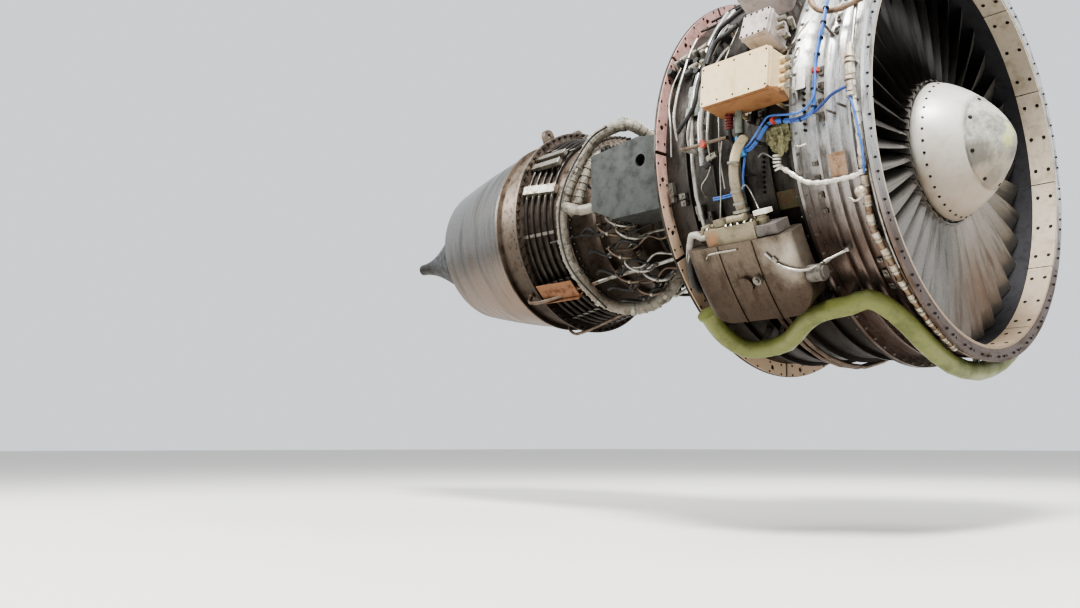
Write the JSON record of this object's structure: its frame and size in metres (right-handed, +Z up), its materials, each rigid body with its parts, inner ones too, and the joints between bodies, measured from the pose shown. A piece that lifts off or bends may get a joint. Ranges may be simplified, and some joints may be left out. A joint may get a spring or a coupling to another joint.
{
  "type": "turbofan jet engine",
  "caption": "Bare high-bypass turbofan engine: wide bladed fan in a ribbed case hung with boxes and pipes, slim hot core, tapered exhaust nozzle and plug; its spools turn.",
  "frame": {"origin": "centre of the inlet flange's front face, on the engine's axis", "axes": "+X along the engine's axis, forward out of the inlet; +Z up as the engine hangs under a wing; +Y to the engine's left"},
  "size_m": [3.7431, 1.9985, 1.7357],
  "materials": {
    "spinner_nose": "aged satin paint",
    "spinner_rear_cone": "aged satin paint",
    "fan_disk": "worn, dusty bare metal",
    "fan_blades": "worn, dusty bare metal",
    "booster_drum": "worn, dusty bare metal",
    "booster_blades": "worn, dusty bare metal",
    "lp_shaft": "worn, dusty bare metal",
    "lp_turbine_rotor": "worn, dusty bare metal",
    "lp_turbine_blades": "worn, dusty bare metal",
    "core_compressor_drum": "worn, dusty bare metal",
    "core_compressor_blades": "worn, dusty bare metal",
    "core_turbine_disk": "worn, dusty bare metal",
    "core_turbine_blades": "worn, dusty bare metal",
    "radial_drive_shaft": "worn, dusty bare metal",
    "fan_inlet_case": "worn, dusty bare metal",
    "acoustic_panels": "matte",
    "tip_shroud": "matte",
    "fan_frame_case": "worn, dusty bare metal",
    "fan_frame_struts": "worn, dusty bare metal",
    "fan_frame_hub": "worn, dusty bare metal",
    "outlet_guide_vanes": "worn, dusty bare metal",
    "rear_rim_panels": "aged satin paint",
    "booster_case": "worn, dusty bare metal",
    "booster_vanes": "worn, dusty bare metal",
    "shaft_bearings": "worn, dusty bare metal",
    "core_compressor_case": "worn, dusty bare metal",
    "core_compressor_vanes": "worn, dusty bare metal",
    "vane_rings": "worn, dusty bare metal",
    "combustor_case": "worn, dusty bare metal",
    "flame_tube": "worn, dusty bare metal",
    "fuel_nozzles": "worn, dusty bare metal",
    "fuel_manifold": "worn, dusty bare metal",
    "core_turbine_case": "worn, dusty bare metal",
    "core_turbine_vanes": "worn, dusty bare metal",
    "lp_turbine_case": "worn, dusty bare metal",
    "lp_turbine_vanes": "worn, dusty bare metal",
    "cooling_tubes": "worn, dusty bare metal",
    "rear_frame_ring": "worn, dusty bare metal",
    "rear_frame_hub": "worn, dusty bare metal",
    "exhaust_nozzle": "worn, dusty bare metal",
    "exhaust_plug": "worn, dusty bare metal",
    "bleed_duct": "worn, dusty bare metal",
    "precooler": "aged satin paint",
    "control_box": "aged satin paint",
    "ignition_boxes": "aged satin paint",
    "oil_tank": "aged satin paint",
    "oil_tank_head": "worn, dusty bare metal",
    "oil_filler_cap": "worn, dusty bare metal",
    "air_duct": "aged satin paint",
    "accessory_gearbox": "worn, dusty bare metal",
    "transfer_gearbox": "worn, dusty bare metal",
    "fuel_pump": "worn, dusty bare metal",
    "fuel_control_lever": "worn, dusty bare metal",
    "starter": "worn, dusty bare metal",
    "generator": "aged satin paint",
    "hydraulic_pump": "worn, dusty bare metal",
    "case_pipes": "worn, dusty bare metal",
    "wiring_harness": "matte",
    "core_pipes": "worn, dusty bare metal",
    "forward_mount": "worn, dusty bare metal"
  },
  "bodies": {
    "engine": {"fan_inlet_case": "fan_inlet_case", "acoustic_panels": "acoustic_panels", "tip_shroud": "tip_shroud", "fan_frame_case": "fan_frame_case", "fan_frame_struts": "fan_frame_struts", "fan_frame_hub": "fan_frame_hub", "outlet_guide_vanes": "outlet_guide_vanes", "rear_rim_panels": "rear_rim_panels", "booster_case": "booster_case", "booster_vanes": "booster_vanes", "shaft_bearings": "shaft_bearings", "core_compressor_case": "core_compressor_case", "core_compressor_vanes": "core_compressor_vanes", "combustor_case": "combustor_case", "flame_tube": "flame_tube", "fuel_nozzles": "fuel_nozzles", "fuel_manifold": "fuel_manifold", "core_turbine_case": "core_turbine_case", "core_turbine_vanes": "core_turbine_vanes", "lp_turbine_case": "lp_turbine_case", "lp_turbine_vanes": "lp_turbine_vanes", "cooling_tubes": "cooling_tubes", "rear_frame_ring": "rear_frame_ring", "rear_frame_hub": "rear_frame_hub", "exhaust_nozzle": "exhaust_nozzle", "exhaust_plug": "exhaust_plug", "bleed_duct": "bleed_duct", "precooler": "precooler", "control_box": "control_box", "ignition_boxes": "ignition_boxes", "oil_tank": "oil_tank", "oil_tank_head": "oil_tank_head", "air_duct": "air_duct", "accessory_gearbox": "accessory_gearbox", "transfer_gearbox": "transfer_gearbox", "fuel_pump": "fuel_pump", "starter": "starter", "generator": "generator", "hydraulic_pump": "hydraulic_pump", "case_pipes": "case_pipes", "wiring_harness": "wiring_harness", "core_pipes": "core_pipes", "forward_mount": "forward_mount"},
    "lp_spool": {"spinner_nose": "spinner_nose", "spinner_rear_cone": "spinner_rear_cone", "fan_disk": "fan_disk", "fan_blades": "fan_blades", "booster_drum": "booster_drum", "booster_blades": "booster_blades", "lp_shaft": "lp_shaft", "lp_turbine_rotor": "lp_turbine_rotor", "lp_turbine_blades": "lp_turbine_blades"},
    "core_spool": {"core_compressor_drum": "core_compressor_drum", "core_compressor_blades": "core_compressor_blades", "core_turbine_disk": "core_turbine_disk", "core_turbine_blades": "core_turbine_blades"},
    "radial_drive": {"radial_drive_shaft": "radial_drive_shaft"},
    "vane_ring_set": {"vane_rings": "vane_rings"},
    "oil_cap": {"oil_filler_cap": "oil_filler_cap"},
    "fuel_lever": {"fuel_control_lever": "fuel_control_lever"}
  },
  "joints": [
    {"name": "lp_spin", "type": "hinge", "parent": "engine", "child": "lp_spool", "pos_m": [0, 0, 0], "axis": [1, 0, 0], "continuous": true},
    {"name": "core_spin", "type": "hinge", "parent": "engine", "child": "core_spool", "pos_m": [-1, 0, 0], "axis": [1, 0, 0], "continuous": true},
    {"name": "radial_spin", "type": "hinge", "parent": "engine", "child": "radial_drive", "pos_m": [-0.77, 0, 0], "axis": [0, 1, 0], "continuous": true},
    {"name": "vane_turn", "type": "hinge", "parent": "engine", "child": "vane_ring_set", "pos_m": [-1, 0, 0], "axis": [1, 0, 0], "range_deg": [0, 12]},
    {"name": "cap_turn", "type": "hinge", "parent": "engine", "child": "oil_cap", "pos_m": [-0.56, -0.84627, -0.35054], "axis": [0, -0.3827, 0.9239], "range_deg": [0, 90]},
    {"name": "lever_swing", "type": "hinge", "parent": "engine", "child": "fuel_lever", "pos_m": [-0.126, 0.87782, 0.28522], "axis": [1, 0, 0], "range_deg": [0, 60]}
  ],
  "couplings": [
    {"joint": "radial_spin", "follows": "core_spin", "ratio": 1}
  ]
}
